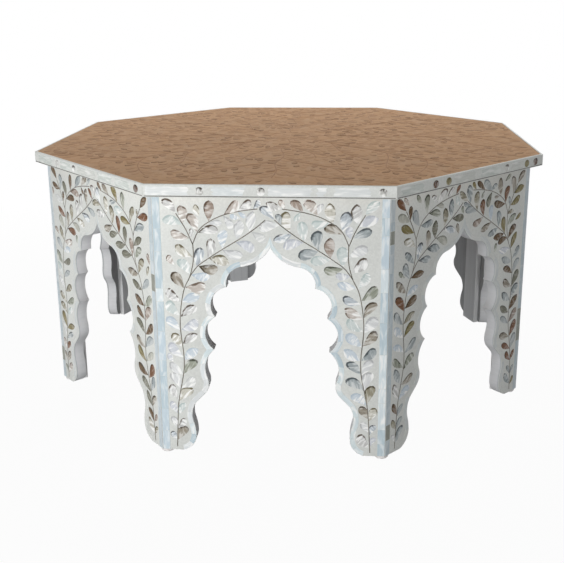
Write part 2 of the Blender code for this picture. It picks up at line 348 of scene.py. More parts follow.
TAN_SHADES = (
    (0.00, (168, 131, 97), (178, 141, 106)),
    (0.25, (158, 122, 89), (172, 135, 101)),
    (0.50, (126, 94, 64), (168, 131, 98)),
    (0.70, (108, 79, 52), (160, 124, 91)),
    (0.88, (142, 107, 76), (160, 123, 90)),
)
DOT_SHADES = (
    (0.0, (74, 66, 58), (226, 226, 222)),
    (0.5, (54, 36, 26), (98, 68, 48)),
    (0.8, (88, 80, 48), (138, 130, 88)),
)
# How strongly chips get painted white highlights, from each tone on
LEAF_GLINTS = ((0.0, 0.95), (0.5, 0.45), (0.75, 0.2))
STRIP_GLINTS = ((0.0, 0.8), (0.25, 0.5), (0.5, 0.9), (0.66, 0.45), (0.75, 0.12), (0.875, 0.25), (0.985, 0.1))
NO_GLINTS = ((0.0, 0.0), (0.5, 0.0))
UPRIGHT_STROKES = (160, 160, 6)

cream_resin = resin_material("cream_resin", (222, 224, 220), (213, 215, 211), (234, 235, 232), 0.34, 0.15)
tan_resin = resin_material("tan_resin", (180, 142, 106), (168, 135, 103), (187, 151, 115), 0.5, 0.05)
# A dark grey resin for the painted shadow under the edge bands
painted_shadow_line = resin_material("painted_shadow_line", (104, 104, 99), (88, 88, 84), (120, 120, 114), 0.55)
tan_stem_line = resin_material("tan_stem_line", (158, 120, 90), (150, 112, 83), (164, 127, 97), 0.5, 0.05)
stem_line = stem_material()
# Shell finishes paint shade on a chip's rim and white highlights into its colour; the strips get no painted
# shade, the top's chips no highlights
leaf_shell = shell_material("leaf_shell", LEAF_SHADES, LEAF_GLINTS, (60, 200, 60), 97.0, 0.95, 0.26, 0.12)
strip_shell = shell_material("strip_shell", STRIP_SHADES, STRIP_GLINTS, (36, 130, 36), 0.0, 0.0, 0.26, 0.2)
dot_shell = shell_material("dot_shell", DOT_SHADES, LEAF_GLINTS, (90, 90, 90), 0.0, 0.95, 0.22, 0.3)
tan_shell = shell_material("tan_shell", TAN_SHADES, NO_GLINTS, (80, 160, 80), 0.0, 0.95, 0.5, 0.05)
reveal_paint = paint_material("reveal_paint", (246, 247, 249), (234, 236, 238), 0.5, (30, 30, 300))
# A greyer finish for the cut edges of the cream faces, painted shade along the edge of the arch
painted_shade_rim = paint_material("painted_shade_rim", (212, 215, 217), (198, 202, 205), 0.5, (60, 60, 300))
edge_paint = paint_material("edge_paint", (246, 247, 247), (233, 235, 235), 0.55, UPRIGHT_STROKES)
grey_paint = paint_material("grey_paint", (222, 225, 227), (206, 209, 212), 0.7, UPRIGHT_STROKES, 0.02)
# Darker grey for the backs of the arched boards: partly their own paint, partly painted shade for the dim
# inside of the table
board_back_paint_and_shade = paint_material(
    "board_back_paint_and_shade", (180, 182, 184), (164, 166, 169), 0.7, UPRIGHT_STROKES, 0.02
)
bare_wood = wood_material()
white_nylon = worn_material(
    "white_nylon", (180.0, 4.0, 0.65), (0.45, 0.75), (234, 231, 230), (208, 202, 200), (0.35, 0.6), 0.0001
)
zinc_steel = worn_material(
    "zinc_plated_steel", (260.0, 3.0), (0.35, 0.7), (206, 196, 160), (176, 170, 166), (0.25, 0.45), 0.00005,
    metallic=1.0,
)


# Outlines made of arcs: points, and for each the bulge of the run to the next. A straight run has no bulge.
STRAIGHT = 1e-5
SMOOTH_JOIN = 0.97
SHARP_TIP = -0.3
MEETING_TRIES = 6


def arc_centre(start, end, bulge):
    """Centre and signed radius of an arc; the radius is positive where the arc bows to the right."""
    chord = end - start
    right = Vector((chord.y, -chord.x)).normalized()
    sweep = 4 * math.atan(2 * abs(bulge))
    radius = chord.length / (2 * math.sin(sweep / 2))
    side = math.copysign(1.0, bulge)
    return (start + end) / 2 - right * (side * radius * math.cos(sweep / 2)), side * radius


def run_point(start, end, bulge, share):
    """The point at a share of the way along a run."""
    if abs(bulge) < STRAIGHT:
        return start.lerp(end, share)
    centre, _ = arc_centre(start, end, bulge)
    return centre + Matrix.Rotation(4 * math.atan(2 * bulge) * share, 2) @ (start - centre)


def run_steps(bulge):
    return max(1, math.ceil(4 * math.atan(2 * abs(bulge)) / ARC_STEP))


def right_normal(start, end, bulge, at_end):
    """The unit normal to the right of a run, at its start or end."""
    chord = (end - start).normalized()
    turn = 2 * math.atan(2 * bulge) * (1 if at_end else -1)
    heading = Matrix.Rotation(turn, 2) @ chord
    return Vector((heading.y, -heading.x))


def depth_from(point, start, end, bulge, normal):
    """How far a point lies to the right of a run, and the way that this grows."""
    if abs(bulge) < STRAIGHT:
        return (point - start).dot(normal), normal
    centre, radius = arc_centre(start, end, bulge)
    away = point - centre
    side = math.copysign(1.0, radius)
    return side * (away.length - abs(radius)), away.normalized() * side


def inset(points, bulges, widths):
    """The closed outline moved to its right by a width for each run."""
    following = points[1:] + points[:1]
    moved = []
    for index, (here, after) in enumerate(zip(points, following)):
        before = points[index - 1]
        first = right_normal(before, here, bulges[index - 1], True)
        second = right_normal(here, after, bulges[index], False)
        width_one, width_two = widths[index - 1], widths[index]
        spread = first.dot(second)
        if spread > SMOOTH_JOIN:
            moved.append(here + (first + second).normalized() * (width_one + width_two) / 2)
            continue
        guess = here + Matrix((first, second)).inverted() @ Vector((width_one, width_two))
        # The arcs at the tip of the arch no longer meet when moved far, so it keeps this straight mitre
        for _ in range(MEETING_TRIES if spread > SHARP_TIP else 0):
            one, first = depth_from(guess, before, here, bulges[index - 1], first)
            two, second = depth_from(guess, here, after, bulges[index], second)
            guess = guess + Matrix((first, second)).inverted() @ Vector((width_one - one, width_two - two))
        moved.append(guess)
    new_bulges = []
    for start, end, bulge, new_start, new_end in zip(points, following, bulges, moved, moved[1:] + moved[:1]):
        if abs(bulge) < STRAIGHT:
            new_bulges.append(0.0)
            continue
        centre, _ = arc_centre(start, end, bulge)
        sweep = abs((new_start - centre).angle_signed(new_end - centre, 0.0))
        new_bulges.append(math.copysign(math.tan(sweep / 4) / 2, bulge))
    return moved, new_bulges


def outline_points(points, bulges, steps):
    """The closed outline as points, with a number of steps for each run."""
    line = []
    for start, end, bulge, count in zip(points, points[1:] + points[:1], bulges, steps):
        line += [run_point(start, end, bulge, step / count) for step in range(count)]
    return line


def side_outline():
    """One side as a closed outline, with the board on the right all the way round."""
    half = [Vector((x * ARCH_HALF_SPAN, FOOT_LEVEL + z * ARCH_RISE)) for x, z, _ in ARCH_STATIONS]
    other = [Vector((-point.x, point.y)) for point in reversed(half[:-1])]
    corners = [(-SIDE_END, FOOT_LEVEL), (-SIDE_END, BODY_TOP), (SIDE_END, BODY_TOP), (SIDE_END, FOOT_LEVEL)]
    bulges = [bulge for _, _, bulge in ARCH_STATIONS[:-1]]
    straight = [0.0] * (len(corners) + 1)
    return half + other + [Vector(corner) for corner in corners], bulges + bulges[::-1] + straight


STATIONS, BULGES = side_outline()
RUN_STEPS = [run_steps(bulge) for bulge in BULGES]


# Meshes and pieces
def bridge(shape, lower, upper):
    """Faces between two loops of as many points."""
    for corners in zip(lower, lower[1:] + lower[:1], upper[1:] + upper[:1], upper):
        shape.faces.new(corners)


def made_mesh(shape, name, sharp=None):
    """A shape as a mesh with its faces outwards, smooth but for edges past an angle in degrees."""
    bmesh.ops.recalc_face_normals(shape, faces=shape.faces)
    mesh = bpy.data.meshes.new(name)
    shape.to_mesh(mesh)
    shape.free()
    if sharp:
        mesh.shade_smooth()
        mesh.set_sharp_from_angle(angle=math.radians(sharp))
    return mesh


def closed_loft(name, rings, sharp=None):
    """A mesh through rings of as many points, closed at both ends."""
    shape = bmesh.new()
    loops = [[shape.verts.new(point) for point in ring] for ring in rings]
    for lower, upper in zip(loops, loops[1:]):
        bridge(shape, lower, upper)
    shape.faces.new(loops[0])
    shape.faces.new(loops[-1])
    return made_mesh(shape, name, sharp)


def softened(reach, middle):
    """Steps round an arris, as distances in from its two faces."""
    return [(reach, 0.0), (middle, middle), (0.0, reach)]


def two_finishes(mesh, first, second, is_second):
    """Gives a mesh two finishes, the second where a face's normal passes a test."""
    mesh.materials.append(first)
    mesh.materials.append(second)
    for polygon in mesh.polygons:
        polygon.material_index = int(is_second(polygon.normal))


def give(mesh, name, values, kind="FLOAT"):
    """Stores values on the points of a mesh."""
    key = "vector" if kind == "FLOAT_VECTOR" else "value"
    mesh.attributes.new(name, kind, "POINT").data.foreach_set(key, values)


def side_matrix(side, apothem):
    """Takes a flat pattern (across, up, out) to a side of the table."""
    turn = Matrix.Rotation(side * SECTOR, 4, "Z")
    return turn @ Matrix.Translation((0.0, -apothem, 0.0)) @ Matrix.Rotation(math.pi / 2, 4, "X")


def keep(name, mesh, slot, *replaced):
    """Puts a finished mesh in the scene as a piece of the table."""
    mesh.name = name
    piece = bpy.data.objects.new(name, mesh)
    bpy.context.scene.collection.objects.link(piece)
    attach(piece, "root")
    if replaced:
        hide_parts(*replaced)


# The sides
MITRE_REACH = 1e-6
SHARP_ON_SIDES = 32
RIM_NORMAL = 0.2
BACK_NORMAL = 0.6


def arched_slab(rings):
    """A side from rings of (inset, out) listed from the back to the front, mitred at both ends."""
    loops = []
    for width, out in rings:
        end = SIDE_END - width
        loop = []
        for across, up in outline_points(*inset(STATIONS, BULGES, [width] * len(STATIONS)), RUN_STEPS):
            if abs(across) > end - MITRE_REACH:
                across = math.copysign(end + out * math.tan(HALF_SECTOR), across)
            loop.append((across, up, out))
        loops.append(loop)
    return closed_loft("side", loops, SHARP_ON_SIDES)


def make_sides():
    """The cream inlay faces and the painted boards behind them, with softened arrises."""
    front = -FACE_THICKNESS - GLUE_LINE
    back = front - BOARD_THICKNESS
    face_rings = [(0.0, -FACE_THICKNESS)]
    face_rings += [(inward, -GROUND_DEPTH - down) for inward, down in reversed(softened(*FACE_ARRIS))]
    board_rings = [(inward, back + up) for inward, up in softened(*BOARD_ARRIS)] + [(0.0, front)]
    for side in range(SIDES):
        number = side + 1
        place = side_matrix(side, BODY_APOTHEM)
        face = arched_slab(face_rings)
        # The cut edges of the cream face take the greyer finish: painted shade along the arch
        two_finishes(face, cream_resin, painted_shade_rim, lambda normal: abs(normal.z) < RIM_NORMAL)
        face.transform(place)
        keep(f"cream_face_{number}", face, CREAM_INLAY, f"inlay_face_{number}")
        board = arched_slab(board_rings)
        # The board backs take the darker grey: partly paint, partly painted shade inside the table
        two_finishes(board, reveal_paint, board_back_paint_and_shade, lambda normal: normal.z < -BACK_NORMAL)
        board.transform(place)
        keep(f"arched_board_{number}", board, "grey_paint", f"side_panel_{number}")


# Leaf chips of unit length
LEAF_HALF_WIDTH = 0.26
LEAF_STEPS = (0.12, 0.28, 0.46, 0.64, 0.80, 0.93)
# Bend of each leaf shape, and how blunt its end is: the lower, the rounder
LEAF_KINDS = ((0.0, 0.6), (0.09, 0.55), (-0.09, 0.6), (0.05, 0.8))
LEAF_TAIL = 1.1
LEAF_RIM_LEVEL = -0.00012
CROWN_LEVEL = -0.00003
CROWN_SHARE = 0.8
CROWN_CENTRE = 0.55
SHARP_ON_LEAVES = 50


def leaf_half_width(share, blunt):
    """Half the width of a leaf of unit length: a thin tail at the stem and a round end."""
    widest = LEAF_TAIL / (LEAF_TAIL + blunt)
    return LEAF_HALF_WIDTH * (share / widest) ** LEAF_TAIL * ((1 - share) / (1 - widest)) ** blunt


def leaf_shape(name, bend, blunt):
    """A leaf chip of unit length along X, lightly domed, closed below."""
    outline = [(0.0, 0.0)]
    outline += [(share, -leaf_half_width(share, blunt)) for share in LEAF_STEPS]
    outline += [(1.0, 0.0)]
    outline += [(share, leaf_half_width(share, blunt)) for share in reversed(LEAF_STEPS)]
    axis = [bend * math.sin(math.pi * x) for x, _ in outline]
    points = [(x, y + middle) for (x, y), middle in zip(outline, axis)]
    shape = bmesh.new()
    root = [shape.verts.new((x, y, -CHIP_HEIGHT)) for x, y in points]
    rim = [shape.verts.new((x, y, LEAF_RIM_LEVEL)) for x, y in points]
    crown = []
    for (x, y), middle in zip(points, axis):
        inner = CROWN_CENTRE + (x - CROWN_CENTRE) * CROWN_SHARE
        crown.append(shape.verts.new((inner, middle + (y - middle) * CROWN_SHARE, CROWN_LEVEL)))
    half = len(LEAF_STEPS) + 1
    spine = [shape.verts.new((crown[step].co.x, axis[step], 0.0)) for step in range(1, half)]
    bridge(shape, root, rim)
    bridge(shape, rim, crown)
    ridge = [crown[0], *spine, crown[half]]
    for step in range(half):
        for flank in (crown[step : step + 2], [crown[-step], crown[-step - 1]]):
            corners = dict.fromkeys([*flank, ridge[step + 1], ridge[step]])
            shape.faces.new(list(corners))
    shape.faces.new(root[::-1])
    mesh = made_mesh(shape, name, SHARP_ON_LEAVES)
    count = len(points)
    grain = [value * LEAF_GRAIN for vertex in mesh.vertices for value in (vertex.co.x, vertex.co.y, 0.0)]
    give(mesh, "grain", grain, "FLOAT_VECTOR")
    # Where each point lies across the leaf and how near its edge, for the painted shade on the rim
    side = [y / LEAF_HALF_WIDTH for _, y in outline]
    give(mesh, "across", side + side + [value * CROWN_SHARE for value in side] + [0.0] * len(spine))
    give(mesh, "edge", [1.0] * (2 * count) + [CROWN_SHARE] * count + [0.0] * len(spine))
    return bpy.data.objects.new(name, mesh)


# Geometry Nodes trees for what repeats or follows a path
def start_tree(name, numbers, **others):
    """A new tree with named inputs, its input identifiers, and its inputs' sockets."""
    tree = bpy.data.node_groups.new(name, "GeometryNodeTree")
    tree.is_modifier = True
    face = tree.interface
    face.new_socket("Geometry", in_out="INPUT", socket_type="NodeSocketGeometry")
    names = {}
    for label, kind in {**dict.fromkeys(numbers, "Float"), **others, "Finish": "Material"}.items():
        names[label] = face.new_socket(label, in_out="INPUT", socket_type="NodeSocket" + kind).identifier
    face.new_socket("Geometry", in_out="OUTPUT", socket_type="NodeSocketGeometry")
    return tree, names, tree.nodes.new("NodeGroupInput").outputs


def finish_tree(tree, geometry, finish):
    """Ends a tree in plain geometry with its material."""
    real = wired(tree, "GeometryNodeRealizeInstances", {"Geometry": geometry})
    dressed = wired(tree, "GeometryNodeSetMaterial", {"Geometry": real, "Material": finish})
    wire(tree, "NodeGroupOutput", {0: dressed})


def run_tree(source, made, values):
    """Runs a tree on a guide object, removes the guide, and gives the result as a plain mesh."""
    tree, names = made
    modifier = source.modifiers.new(tree.name, "NODES")
    modifier.node_group = tree
    for label, value in values.items():
        modifier[names[label]] = value
    bpy.context.scene.collection.objects.link(source)
    graph = bpy.context.evaluated_depsgraph_get()
    ready = source.evaluated_get(graph)
    mesh = bpy.data.meshes.new_from_object(ready, preserve_all_data_layers=True, depsgraph=graph)
    source.modifiers.remove(modifier)
    bpy.data.objects.remove(source)
    mesh.materials.clear()
    mesh.materials.append(values["Finish"])
    return mesh


def random_number(tree, low, high, seed):
    """A random number for each point or face."""
    inputs = {2: low, 3: high, "Seed": seed}
    return wire(tree, "FunctionNodeRandomValue", inputs, data_type="FLOAT").outputs[1]


def stored(tree, geometry, domain, **numbers):
    """Geometry with named numbers stored on its points or faces."""
    for name, value in numbers.items():
        inputs = {"Geometry": geometry, "Name": name, "Value": value}
        geometry = wired(tree, "GeometryNodeStoreNamedAttribute", inputs, data_type="FLOAT", domain=domain)
    return geometry


def point_across(tree):
    """How far to the right a point or face of a pattern lies."""
    return wired(tree, "ShaderNodeSeparateXYZ", {0: wired(tree, "GeometryNodeInputPosition")})


def leaf_chip_tree():
    """Sets a leaf chip on every point, turned and scaled by the point, with a tone of its own."""
    numbers = ("Width", "Dark share", "Dark drift", "Dark range", "Dark side")
    tree, names, given = start_tree("leaf_chips", numbers, Shapes="Collection", Seed="Int")

    def chance(low, high, step):
        return random_number(tree, low, high, maths(tree, "ADD", given["Seed"], step))

    turn, length = (
        wired(tree, "GeometryNodeInputNamedAttribute", {"Name": name}, data_type="FLOAT")
        for name in ("turn", "length")
    )
    info = {"Collection": given["Shapes"], "Separate Children": True, "Reset Children": True}
    width = maths(tree, "MULTIPLY", maths(tree, "MULTIPLY", length, given["Width"]), chance(0.9, 1.1, 1.0))
    share = maths(tree, "MULTIPLY_ADD", point_across(tree), given["Dark drift"], given["Dark share"])
    dark = maths(tree, "LESS_THAN", chance(0.0, 1.0, 2.0), share)
    tone = chance(0.0, 0.5, 3.0)
    deep = maths(tree, "MULTIPLY_ADD", tone, given["Dark range"], 0.5)
    tone = wired(tree, "ShaderNodeMix", {0: dark, 2: tone, 3: deep})
    # The lean turns the painted shade so that all the leaves of a pattern are shaded on one side
    lean = maths(tree, "SUBTRACT", maths(tree, "ADD", given["Dark side"], chance(-0.7, 0.7, 4.0)), turn)
    placed = {
        "Points": stored(tree, given["Geometry"], "POINT", tone=tone, lean=lean),
        "Instance": wired(tree, "GeometryNodeCollectionInfo", info),
        "Pick Instance": True,
        "Instance Index": maths(tree, "FLOOR", chance(0.0, len(LEAF_KINDS) - 0.01, 0.0)),
        "Rotation": wired(tree, "ShaderNodeCombineXYZ", {"Z": turn}),
        "Scale": wired(tree, "ShaderNodeCombineXYZ", {"X": length, "Y": width, "Z": 1.0}),
    }
    finish_tree(tree, wired(tree, "GeometryNodeInstanceOnPoints", placed), given["Finish"])
    return tree, names


def stem_tree():
    """Runs a thin flat bar along every stem."""
    tree, names, given = start_tree("stem_lines", ("Width", "Depth"))
    size = {"Width": given["Width"], "Height": given["Depth"]}
    section = wired(tree, "GeometryNodeCurvePrimitiveQuadrilateral", size)
    sweep = {"Curve": given["Geometry"], "Profile Curve": section, "Fill Caps": True}
    finish_tree(tree, wired(tree, "GeometryNodeCurveToMesh", sweep), given["Finish"])
    return tree, names


def raised_chip_tree():
    """Raises flat outlines into closed chips, each with a tone of its own."""
    numbers = ("Rise", "Palest tone", "Deepest tone", "Tone drift")
    tree, names, given = start_tree("raised_chips", numbers, Seed="Int")
    tone = random_number(tree, given["Palest tone"], given["Deepest tone"], given["Seed"])
    tone = maths(tree, "MULTIPLY_ADD", point_across(tree), given["Tone drift"], tone)
    # The painted shade of a raised chip falls across it
    flat = stored(tree, given["Geometry"], "FACE", tone=tone, lean=math.pi / 2)
    rise = {"Mesh": flat, "Offset Scale": given["Rise"], "Individual": True}
    both = wire(tree, "GeometryNodeJoinGeometry")
    tree.links.new(wired(tree, "GeometryNodeExtrudeMesh", rise), both.inputs[0])
    tree.links.new(wired(tree, "GeometryNodeFlipFaces", {"Mesh": flat}), both.inputs[0])
    seam = {"Geometry": both.outputs[0], "Distance": 0.000002}
    finish_tree(tree, wired(tree, "GeometryNodeMergeByDistance", seam), given["Finish"])
    return tree, names


leaf_shapes = bpy.data.collections.new("leaf_shapes")
for leaf_number, leaf_kind in enumerate(LEAF_KINDS, 1):
    leaf_shapes.objects.link(leaf_shape(f"leaf_shape_{leaf_number}", *leaf_kind))
leaf_chips = leaf_chip_tree()
stem_lines = stem_tree()
raised_chips = raised_chip_tree()


# Flat vine patterns
LINE_STEP = 0.002
# Discs that stand for a leaf when room is looked for: share along it, and radius by its length
LEAF_DISCS = np.array(((0.26, 0.10), (0.44, 0.18), (0.62, 0.23), (0.78, 0.22), (0.90, 0.13)))
LEAF_CLEARANCE = 0.0009
LENGTH_TRIES = (1.0, 0.94, 0.88, 0.82, 0.76, 0.7, 0.64, 0.58, 0.52, 0.46)
TURN_TRIES = (0.0, -7.0, 7.0, -14.0, 14.0, -22.0, 22.0, -30.0, 30.0)
# Leaves along a stem and at its tip, and how far they stray
LEAF_OFF_STEM = 0.6 * STEM_WIDTH
SHORTEST_LEAF = 0.011
BARE_STEM_END = 0.004
TIP_GAP = 0.001
TIP_LEAF_SHARE = 0.9
SHORTEST_TIP_LEAF = 0.010
PLACE_STRAY = 0.0025
TURN_STRAY = 0.09
LENGTH_STRAY = (0.92, 1.04)
SPACING_STRAY = (0.93, 1.07)
LOOSE_TURN_STRAY = 0.5
LOOSE_SHORTEST = 0.8


def smooth_line(controls):
    """A smooth line through control points, as points about a step apart."""
    points = [Vector(point) for point in controls]
    points = [points[0] * 2 - points[1]] + points + [points[-1] * 2 - points[-2]]
    line = [points[1]]
    for before, start, end, after in zip(points, points[1:], points[2:], points[3:]):
        count = max(2, round((end - start).length / LINE_STEP))
        for index in range(1, count + 1):
            share = index / count
            one = 2 * start + (end - before) * share
            two = (2 * before - 5 * start + 4 * end - after) * share**2
            three = (3 * start - before - 3 * end + after) * share**3
            line.append((one + two + three) / 2)
    return line


class VineField:
    """A flat field of leaves on stems, kept clear of the border, the stems and each other."""

    def __init__(self, border, stems, repeat=None):
        self.border = np.array([tuple(point) for point in border])
        self.stems = stems
        self.repeats = [np.array(Matrix.Rotation(turn, 2)) for turn in (repeat, -repeat)] if repeat else []
        points = np.array([tuple(point) for stem in stems for point in stem])
        self.stem_points = np.vstack([points] + [points @ turn for turn in self.repeats])
        self.discs = np.empty((0, 3))
        self.leaves = []

    def discs_of(self, base, heading, length):
        along = np.array((math.cos(heading), math.sin(heading)))
        centres = np.array(base) + np.outer(LEAF_DISCS[:, 0] * length, along)
        return np.column_stack((centres, LEAF_DISCS[:, 1] * length))

    def room(self, discs):
        """Whether discs lie inside the border and clear of stems and leaves."""
        start = self.border
        end = np.roll(start, -1, axis=0)
        x, y = discs[:, 0, None], discs[:, 1, None]
        rising = (start[:, 1] > y) != (end[:, 1] > y)
        slope = (end[:, 0] - start[:, 0]) / np.where(end[:, 1] == start[:, 1], 1.0, end[:, 1] - start[:, 1])
        crossing = rising & (x < start[:, 0] + (y - start[:, 1]) * slope)
        if not (crossing.sum(axis=1) % 2 == 1).all():
            return False
        run = end - start
        share = ((x - start[:, 0]) * run[:, 0] + (y - start[:, 1]) * run[:, 1]) / (run**2).sum(axis=1)
        share = np.clip(share, 0.0, 1.0)
        to_border = np.hypot(x - start[:, 0] - share * run[:, 0], y - start[:, 1] - share * run[:, 1])
        to_stems = np.hypot(x - self.stem_points[:, 0], y - self.stem_points[:, 1])
        for gap in (to_border, to_stems):
            if (gap.min(axis=1) < discs[:, 2] + LEAF_CLEARANCE).any():
                return False
        gap = np.hypot(x - self.discs[:, 0], y - self.discs[:, 1]) - self.discs[:, 2] - discs[:, 2, None]
        return not (gap < LEAF_CLEARANCE).any()

    def lay(self, base, heading, length, shortest):
        """Lays the longest leaf that finds room, up to a length."""
        for share in LENGTH_TRIES:
            if share * length < shortest:
                return
            for swing in TURN_TRIES:
                angle = heading + math.radians(swing)
                discs = self.discs_of(base, angle, share * length)
                if self.room(discs):
                    copies = [np.column_stack((discs[:, :2] @ turn, discs[:, 2])) for turn in self.repeats]
                    self.discs = np.vstack([self.discs, discs] + copies)
                    self.leaves.append((tuple(base), angle, share * length))
                    return

    def dress(self, stem, spacing, start, length, spread, chance):
        """Leaves in pairs along a stem, and one at its tip."""
        travelled = [0.0]
        for one, two in zip(stem, stem[1:]):
            travelled.append(travelled[-1] + (two - one).length)
        tip = (stem[-1] - stem[-3]).normalized()
        tip_length = length * TIP_LEAF_SHARE
        self.lay(stem[-1] + tip * TIP_GAP, math.atan2(tip.y, tip.x), tip_length, SHORTEST_TIP_LEAF)
        place = start
        while place < travelled[-1] - BARE_STEM_END:
            for hand in (1.0, -1.0):
                spot = place + chance.uniform(-PLACE_STRAY, PLACE_STRAY)
                index = min(len(stem) - 2, max(1, int(np.searchsorted(travelled, spot))))
                heading = (stem[index + 1] - stem[index - 1]).normalized()
                base = stem[index] + Vector((-heading.y, heading.x)) * hand * LEAF_OFF_STEM
                aside = hand * (spread + chance.uniform(-TURN_STRAY, TURN_STRAY))
                angle = math.atan2(heading.y, heading.x) + aside
                self.lay(base, angle, length * chance.uniform(*LENGTH_STRAY), SHORTEST_LEAF)
            place += spacing * chance.uniform(*SPACING_STRAY)

    def fill(self, count, length, heading, chance):
        """Loose leaves in the gaps that are left."""
        low, high = self.border.min(axis=0), self.border.max(axis=0)
        for _ in range(count):
            base = (chance.uniform(low[0], high[0]), chance.uniform(low[1], high[1]))
            angle = heading(base) + chance.uniform(-LOOSE_TURN_STRAY, LOOSE_TURN_STRAY)
            self.lay(base, angle, length, length * LOOSE_SHORTEST)


# Guides, and the pieces that the trees make of them
def lay_in(name, slot, place, guide, tree, values):
    """Runs a tree on a flat guide and keeps the result as a piece of the table."""
    mesh = run_tree(guide, tree, values)
    mesh.transform(place)
    keep(name, mesh, slot)


def lay_leaves(name, slot, place, leaves, values):
    """Leaves as points that carry their turn and length, made into chips."""
    bases, turns, lengths = zip(*leaves)
    mesh = bpy.data.meshes.new("leaf_guide")
    mesh.from_pydata([(x, y, 0.0) for x, y in bases], [], [])
    give(mesh, "turn", turns)
    give(mesh, "length", lengths)
    guide = bpy.data.objects.new("leaf_guide", mesh)
    lay_in(name, slot, place, guide, leaf_chips, {"Shapes": leaf_shapes, **values})


def lay_stems(name, slot, place, stems, finish):
    """Stems as poly lines, made into thin bars."""
    data = bpy.data.curves.new("stem_guide", "CURVE")
    data.dimensions = "3D"
    data.twist_mode = "Z_UP"
    for stem in stems:
        line = data.splines.new("POLY")
        kept = stem[::2] if len(stem) % 2 else stem[::2] + [stem[-1]]
        line.points.add(len(kept) - 1)
        for point, spot in zip(line.points, kept):
            point.co = (spot.x, spot.y, -CHIP_HEIGHT / 2, 1.0)
    guide = bpy.data.objects.new("stem_guide", data)
    values = {"Width": STEM_WIDTH, "Depth": LINE_HEIGHT, "Finish": finish}
    lay_in(name, slot, place, guide, stem_lines, values)


def lay_chips(name, place, chips, finish, seed, tones, rise=CHIP_HEIGHT):
    """Flat outlines with the place of their points along and across the grain, raised into chips."""
    vertices, faces, grains = [], [], []
    for outline, grain in chips:
        faces.append(list(range(len(vertices), len(vertices) + len(outline))))
        vertices += [(x, y, -CHIP_HEIGHT) for x, y in outline]
        grains += grain
    mesh = bpy.data.meshes.new("chip_guide")
    mesh.from_pydata(vertices, [], faces)
    give(mesh, "grain", [value for grain in grains for value in grain], "FLOAT_VECTOR")
    # Where points lie across a chip and how near its edge, for the painted shade on its rim
    give(mesh, "across", [across / EDGE_DOT_RADIUS for _, across, _ in grains])
    give(mesh, "edge", [CHIP_EDGE] * len(vertices))
    guide = bpy.data.objects.new("chip_guide", mesh)
    values = {"Rise": rise, "Seed": seed, "Finish": finish, **tones}
    lay_in(name, CREAM_INLAY, place, guide, raised_chips, values)


def tone_range(palest, deepest, drift=0.0):
    return {"Palest tone": palest, "Deepest tone": deepest, "Tone drift": drift}


def box_chip(left, low, right, high, upright):
    outline = [(left, low), (right, low), (right, high), (left, high)]
    return outline, [(y, x, 0.0) if upright else (x, y, 0.0) for x, y in outline]


TEAR_STEPS = 5
TEAR_DEPTH = 0.006


def torn_chip(left, low, right, high, chance):
    """A strip with broken ends."""
    levels = [low + (high - low) * step / TEAR_STEPS for step in range(TEAR_STEPS + 1)]
    outline = [(right - chance.uniform(0.0, TEAR_DEPTH), level) for level in levels]
    outline += [(left + chance.uniform(0.0, TEAR_DEPTH), level) for level in reversed(levels)]
    return outline, [(x, y, 0.0) for x, y in outline]


DOT_SIDES = 16


def dot_chip(x, y, radius):
    """A round chip whose grain runs over the rounder part of a leaf's, so that it gets a leaf's painted shade
    and highlights.
    """
    turns = [2 * math.pi * step / DOT_SIDES for step in range(DOT_SIDES)]
    outline = [(x + radius * math.cos(turn), y + radius * math.sin(turn)) for turn in turns]
    along = [(0.625 + 0.375 * math.cos(turn)) * LEAF_GRAIN for turn in turns]
    return outline, [(start, radius * math.sin(turn), x) for start, turn in zip(along, turns)]


BAND_STEPS = 6


def arch_border_chips():
    """Chips along the arch, cut at every station and about a length apart."""
    chips = []
    near, far = ARCH_BORDER_START, ARCH_BORDER_END
    lines = [inset(STATIONS, BULGES, [width] * len(STATIONS)) for width in (near, far)]
    gone = 0.0
    for run in range(ARCH_RUNS):
        inner, outer = ((points[run], points[run + 1], bulges[run]) for points, bulges in lines)
        steps = max(2, RUN_STEPS[run]) * 2
        inside = [run_point(*inner, step / steps) for step in range(steps + 1)]
        length = sum((two - one).length for one, two in zip(inside, inside[1:]))
        pieces = max(1, round(length / ARCH_CHIP_LENGTH))
        trim = CHIP_JOINT / 2 / length
        for piece in range(pieces):
            first, last = piece / pieces + trim, (piece + 1) / pieces - trim
            marks = [first + (last - first) * step / BAND_STEPS for step in range(BAND_STEPS + 1)]
            outline = [tuple(run_point(*outer, mark)) for mark in marks]
            outline += [tuple(run_point(*inner, mark)) for mark in reversed(marks)]
            grain = [(gone + mark * length, far - near, 0.0) for mark in marks]
            grain += [(gone + mark * length, 0.0, 0.0) for mark in reversed(marks)]
            chips.append((outline, grain))
        gone += length
    return chips


# The inlay of the sides. Stems of one half, in millimetres from the middle and from the floor.
SIDE_VINE = {
    "main": ((159, 12), (154, 88), (142, 158), (146, 228), (139, 280), (127, 308), (121, 334), (121, 360)),
    "corner": ((121, 358), (131, 382), (146, 408)),
    "upper": ((121, 360), (111, 381), (96, 394), (74, 405), (47, 412), (19, 416)),
    "lower": ((128, 306), (115, 323), (99, 335), (75, 351), (46, 369), (22, 386), (7, 399)),
}
# Stems in the order that they are dressed: spacing of the leaves, where they start, and their spread
SIDE_ORDER = (
    ("lower", 0.0242, 0.022, 0.92),
    ("upper", 0.0242, 0.020, 0.90),
    ("corner", 0.022, 0.014, 0.80),
    ("main", 0.0246, 0.009, 1.0),
)
